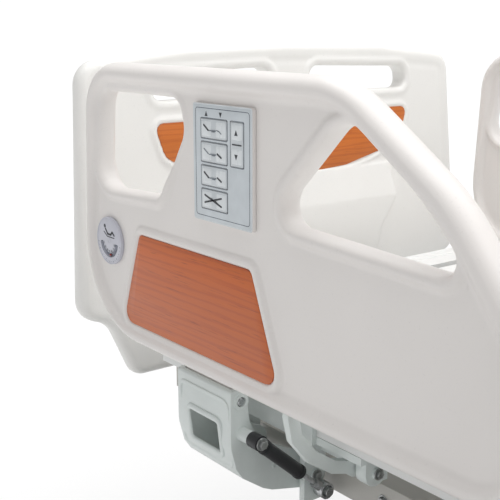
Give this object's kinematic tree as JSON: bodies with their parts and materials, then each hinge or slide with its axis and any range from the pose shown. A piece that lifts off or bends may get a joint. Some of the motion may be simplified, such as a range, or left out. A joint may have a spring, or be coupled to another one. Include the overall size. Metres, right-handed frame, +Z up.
{
  "type": "adjustable hospital bed",
  "caption": "Adjustable hospital bed with swing-down moulded side rails, wood-trimmed end boards, sectioned deck, scissor lift and tilt, on castors.",
  "frame": {"origin": "on the floor under the middle of the bed, halfway between the inner faces of the end boards", "axes": "+X to the foot end, -Y to the patient's right side where the control panel is, +Z up"},
  "size_m": [2.1696, 1.016, 1.0372],
  "materials": {
    "white_moulding": "satin moulded polymer, warm white",
    "wood_panel": "printed reddish wood grain, satin",
    "cast_white": "satin pale blue-green white coat on castings",
    "frame_grey": "satin warm grey powder coat",
    "deck_moulding": "matt off-white polymer",
    "black_plastic": "satin black",
    "bright_steel": "bright plated",
    "castor_rubber": "dark grey rubber",
    "panel_film": "blue-grey membrane film",
    "key_film": "light blue-grey key film",
    "dial_disc": "lavender grey disc",
    "red_ball": "red ball"
  },
  "bodies": {
    "base": {"base_frame": "frame_grey", "lift_actuator_body": "black_plastic"},
    "lift_arms_outer": {"scissor_outer": "cast_white"},
    "lift_arms_inner": {"scissor_inner": "cast_white"},
    "lift_carriage": {"lift_frame": "frame_grey"},
    "lift_drive": {"lift_actuator_rod": "bright_steel"},
    "frame": {"upper_frame": "frame_grey", "seat_deck": "deck_moulding", "back_actuator_body": "black_plastic", "knee_actuator_body": "black_plastic", "control_box": "black_plastic", "rail_bracket_foot_near": "cast_white", "rail_bracket_foot_far": "cast_white"},
    "back": {"back_deck": "deck_moulding", "rail_bracket_head_near": "cast_white", "rail_bracket_head_far": "cast_white"},
    "thigh": {"thigh_deck": "deck_moulding"},
    "calf": {"calf_deck": "deck_moulding"},
    "back_drive": {"back_actuator_rod": "bright_steel"},
    "knee_drive": {"knee_actuator_rod": "bright_steel"},
    "headboard": {"head_board": "white_moulding", "head_board_panel": "wood_panel"},
    "footboard": {"foot_board": "white_moulding", "foot_board_panel": "wood_panel"},
    "brake": {"brake_pedal_bar": "bright_steel"},
    "castor_head_near": {"castor_fork_head_near": "bright_steel"},
    "wheel_head_near": {"castor_wheel_head_near": "castor_rubber"},
    "castor_head_far": {"castor_fork_head_far": "bright_steel"},
    "wheel_head_far": {"castor_wheel_head_far": "castor_rubber"},
    "castor_foot_near": {"castor_fork_foot_near": "bright_steel"},
    "wheel_foot_near": {"castor_wheel_foot_near": "castor_rubber"},
    "castor_foot_far": {"castor_fork_foot_far": "bright_steel"},
    "wheel_foot_far": {"castor_wheel_foot_far": "castor_rubber"},
    "rail_head_near_swing_arm": {"rail_arm_head_near": "cast_white"},
    "rail_head_near_inner_swing_arm": {"rail_inner_arm_head_near": "cast_white"},
    "side_rail_head_near": {"rail_head_near": "white_moulding", "rail_insert_head_near": "wood_panel", "control_panel": "panel_film", "angle_dial": "dial_disc"},
    "rail_head_far_swing_arm": {"rail_arm_head_far": "cast_white"},
    "rail_head_far_inner_swing_arm": {"rail_inner_arm_head_far": "cast_white"},
    "side_rail_head_far": {"rail_head_far": "white_moulding", "rail_insert_head_far": "wood_panel"},
    "rail_foot_near_swing_arm": {"rail_arm_foot_near": "cast_white"},
    "rail_foot_near_inner_swing_arm": {"rail_inner_arm_foot_near": "cast_white"},
    "side_rail_foot_near": {"rail_foot_near": "white_moulding", "rail_insert_foot_near": "wood_panel"},
    "rail_foot_far_swing_arm": {"rail_arm_foot_far": "cast_white"},
    "rail_foot_far_inner_swing_arm": {"rail_inner_arm_foot_far": "cast_white"},
    "side_rail_foot_far": {"rail_foot_far": "white_moulding", "rail_insert_foot_far": "wood_panel"},
    "damper_cylinder": {"rail_damper_cylinder": "black_plastic"},
    "damper_rod": {"rail_damper_rod": "bright_steel"},
    "key_back": {"key_back": "key_film"},
    "key_legs": {"key_legs": "key_film"},
    "key_back_and_legs": {"key_back_and_legs": "key_film"},
    "key_tilt": {"key_tilt": "key_film"},
    "key_height": {"key_height": "key_film"},
    "dial_pointer": {"dial_ball": "red_ball"}
  },
  "joints": [
    {"name": "bed_lift", "type": "hinge", "parent": "base", "child": "lift_arms_outer", "pos_m": [-0.38, 0, 0.115], "axis": [0, -1, 0], "range_deg": [-5.92, 12.54]},
    {"name": "scissor_cross", "type": "hinge", "parent": "lift_arms_outer", "child": "lift_arms_inner", "pos_m": [0.00158, 0, 0.235], "axis": [0, -1, 0], "range_deg": [-25.09, 11.84]},
    {"name": "lift_level", "type": "hinge", "parent": "lift_arms_inner", "child": "lift_carriage", "pos_m": [-0.38, 0, 0.355], "axis": [0, -1, 0], "range_deg": [-5.92, 12.54]},
    {"name": "lift_drive_slide", "type": "slide", "parent": "base", "child": "lift_drive", "axis": [1, 0, 0], "range_m": [-0.01978, 0.00934]},
    {"name": "bed_tilt", "type": "hinge", "parent": "lift_carriage", "child": "frame", "pos_m": [0, 0, 0.405], "axis": [0, 1, 0], "range_deg": [-12, 12]},
    {"name": "backrest", "type": "hinge", "parent": "frame", "child": "back", "pos_m": [-0.2, 0, 0.555], "axis": [0, 1, 0], "range_deg": [0, 70]},
    {"name": "back_drive_slide", "type": "slide", "parent": "frame", "child": "back_drive", "axis": [1, 0, 0], "range_m": [-0.13305, 0]},
    {"name": "knee", "type": "hinge", "parent": "frame", "child": "thigh", "pos_m": [0.06, 0, 0.555], "axis": [0, -1, 0], "range_deg": [0, 40]},
    {"name": "knee_drive_slide", "type": "slide", "parent": "frame", "child": "knee_drive", "axis": [1, 0, 0], "range_m": [0, 0.06915]},
    {"name": "calf_fold", "type": "hinge", "parent": "thigh", "child": "calf", "pos_m": [0.36, 0, 0.555], "axis": [0, 1, 0], "range_deg": [0, 60.4]},
    {"name": "head_board_lift_off", "type": "slide", "parent": "frame", "child": "headboard", "axis": [0, 0, 1], "range_m": [0, 0.14]},
    {"name": "foot_board_lift_off", "type": "slide", "parent": "frame", "child": "footboard", "axis": [0, 0, 1], "range_m": [0, 0.14]},
    {"name": "brake_pedal", "type": "hinge", "parent": "base", "child": "brake", "pos_m": [0.715, 0, 0.11], "axis": [0, 1, 0], "range_deg": [-12, 12]},
    {"name": "castor_swivel_head_near", "type": "hinge", "parent": "base", "child": "castor_head_near", "pos_m": [-0.62, -0.385, 0.12], "axis": [0, 0, 1], "continuous": true},
    {"name": "castor_roll_head_near", "type": "hinge", "parent": "castor_head_near", "child": "wheel_head_near", "pos_m": [-0.65, -0.385, 0.05], "axis": [0, 1, 0], "continuous": true},
    {"name": "castor_swivel_head_far", "type": "hinge", "parent": "base", "child": "castor_head_far", "pos_m": [-0.62, 0.385, 0.12], "axis": [0, 0, 1], "continuous": true},
    {"name": "castor_roll_head_far", "type": "hinge", "parent": "castor_head_far", "child": "wheel_head_far", "pos_m": [-0.65, 0.385, 0.05], "axis": [0, 1, 0], "continuous": true},
    {"name": "castor_swivel_foot_near", "type": "hinge", "parent": "base", "child": "castor_foot_near", "pos_m": [0.62, -0.385, 0.12], "axis": [0, 0, 1], "continuous": true},
    {"name": "castor_roll_foot_near", "type": "hinge", "parent": "castor_foot_near", "child": "wheel_foot_near", "pos_m": [0.59, -0.385, 0.05], "axis": [0, 1, 0], "continuous": true},
    {"name": "castor_swivel_foot_far", "type": "hinge", "parent": "base", "child": "castor_foot_far", "pos_m": [0.62, 0.385, 0.12], "axis": [0, 0, 1], "continuous": true},
    {"name": "castor_roll_foot_far", "type": "hinge", "parent": "castor_foot_far", "child": "wheel_foot_far", "pos_m": [0.59, 0.385, 0.05], "axis": [0, 1, 0], "continuous": true},
    {"name": "rail_drop_head_near", "type": "hinge", "parent": "back", "child": "rail_head_near_swing_arm", "pos_m": [-0.65, -0.343, 0.41], "axis": [1, 0, 0], "range_deg": [0, 98]},
    {"name": "rail_level_head_near", "type": "hinge", "parent": "rail_head_near_swing_arm", "child": "side_rail_head_near", "pos_m": [-0.65, -0.468, 0.551], "axis": [1, 0, 0], "range_deg": [-98, 0]},
    {"name": "rail_inner_head_near", "type": "hinge", "parent": "back", "child": "rail_head_near_inner_swing_arm", "pos_m": [-0.465, -0.345, 0.463], "axis": [1, 0, 0], "range_deg": [0, 98]},
    {"name": "rail_drop_head_far", "type": "hinge", "parent": "back", "child": "rail_head_far_swing_arm", "pos_m": [-0.65, 0.343, 0.41], "axis": [-1, 0, 0], "range_deg": [0, 98]},
    {"name": "rail_level_head_far", "type": "hinge", "parent": "rail_head_far_swing_arm", "child": "side_rail_head_far", "pos_m": [-0.65, 0.468, 0.551], "axis": [-1, 0, 0], "range_deg": [-98, 0]},
    {"name": "rail_inner_head_far", "type": "hinge", "parent": "back", "child": "rail_head_far_inner_swing_arm", "pos_m": [-0.465, 0.345, 0.463], "axis": [-1, 0, 0], "range_deg": [0, 98]},
    {"name": "rail_drop_foot_near", "type": "hinge", "parent": "frame", "child": "rail_foot_near_swing_arm", "pos_m": [0.65, -0.343, 0.41], "axis": [1, 0, 0], "range_deg": [0, 98]},
    {"name": "rail_level_foot_near", "type": "hinge", "parent": "rail_foot_near_swing_arm", "child": "side_rail_foot_near", "pos_m": [0.65, -0.468, 0.551], "axis": [1, 0, 0], "range_deg": [-98, 0]},
    {"name": "rail_inner_foot_near", "type": "hinge", "parent": "frame", "child": "rail_foot_near_inner_swing_arm", "pos_m": [0.465, -0.345, 0.463], "axis": [1, 0, 0], "range_deg": [0, 98]},
    {"name": "rail_drop_foot_far", "type": "hinge", "parent": "frame", "child": "rail_foot_far_swing_arm", "pos_m": [0.65, 0.343, 0.41], "axis": [-1, 0, 0], "range_deg": [0, 98]},
    {"name": "rail_level_foot_far", "type": "hinge", "parent": "rail_foot_far_swing_arm", "child": "side_rail_foot_far", "pos_m": [0.65, 0.468, 0.551], "axis": [-1, 0, 0], "range_deg": [-98, 0]},
    {"name": "rail_inner_foot_far", "type": "hinge", "parent": "frame", "child": "rail_foot_far_inner_swing_arm", "pos_m": [0.465, 0.345, 0.463], "axis": [-1, 0, 0], "range_deg": [0, 98]},
    {"name": "damper_pivot", "type": "hinge", "parent": "rail_head_near_swing_arm", "child": "damper_cylinder", "pos_m": [-0.55, -0.467, 0.503], "axis": [1, 0, 0], "range_deg": [-2.06, 0]},
    {"name": "damper_stroke", "type": "slide", "parent": "damper_cylinder", "child": "damper_rod", "axis": [0, 0.75, -0.6614], "range_m": [-0.02856, 0]},
    {"name": "key_back_rock", "type": "hinge", "parent": "side_rail_head_near", "child": "key_back", "pos_m": [-0.59684, -0.5016, 0.93805], "axis": [0, 0, 1], "range_deg": [-1.2, 1.2]},
    {"name": "key_legs_rock", "type": "hinge", "parent": "side_rail_head_near", "child": "key_legs", "pos_m": [-0.59684, -0.5016, 0.90653], "axis": [0, 0, 1], "range_deg": [-1.2, 1.2]},
    {"name": "key_back_and_legs_rock", "type": "hinge", "parent": "side_rail_head_near", "child": "key_back_and_legs", "pos_m": [-0.59684, -0.5016, 0.87477], "axis": [0, 0, 1], "range_deg": [-1.2, 1.2]},
    {"name": "key_tilt_rock", "type": "hinge", "parent": "side_rail_head_near", "child": "key_tilt", "pos_m": [-0.59684, -0.5016, 0.84301], "axis": [0, 0, 1], "range_deg": [-1.2, 1.2]},
    {"name": "key_height_rock", "type": "hinge", "parent": "side_rail_head_near", "child": "key_height", "pos_m": [-0.54584, -0.5016, 0.92217], "axis": [1, 0, 0], "range_deg": [-1.2, 1.2]},
    {"name": "dial_pointer_swing", "type": "hinge", "parent": "side_rail_head_near", "child": "dial_pointer", "pos_m": [-0.8907, -0.4995, 0.7361], "axis": [0, 1, 0], "range_deg": [-70, 0]}
  ],
  "couplings": [
    {"joint": "scissor_cross", "follows": "bed_lift", "ratio": -2},
    {"joint": "lift_level", "follows": "bed_lift", "ratio": 1},
    {"joint": "lift_drive_slide", "follows": "bed_lift", "m_per_rad": -0.090372},
    {"joint": "back_drive_slide", "follows": "backrest", "m_per_rad": -0.1089},
    {"joint": "knee_drive_slide", "follows": "knee", "m_per_rad": 0.09905},
    {"joint": "calf_fold", "follows": "knee", "ratio": 1.51},
    {"joint": "rail_level_head_near", "follows": "rail_drop_head_near", "ratio": -1},
    {"joint": "rail_inner_head_near", "follows": "rail_drop_head_near", "ratio": 1},
    {"joint": "rail_level_head_far", "follows": "rail_drop_head_far", "ratio": -1},
    {"joint": "rail_inner_head_far", "follows": "rail_drop_head_far", "ratio": 1},
    {"joint": "rail_level_foot_near", "follows": "rail_drop_foot_near", "ratio": -1},
    {"joint": "rail_inner_foot_near", "follows": "rail_drop_foot_near", "ratio": 1},
    {"joint": "rail_level_foot_far", "follows": "rail_drop_foot_far", "ratio": -1},
    {"joint": "rail_inner_foot_far", "follows": "rail_drop_foot_far", "ratio": 1},
    {"joint": "damper_pivot", "follows": "rail_drop_head_near", "ratio": -0.021},
    {"joint": "damper_stroke", "follows": "rail_drop_head_near", "m_per_rad": -0.0167},
    {"joint": "dial_pointer_swing", "follows": "backrest", "ratio": -1}
  ]
}
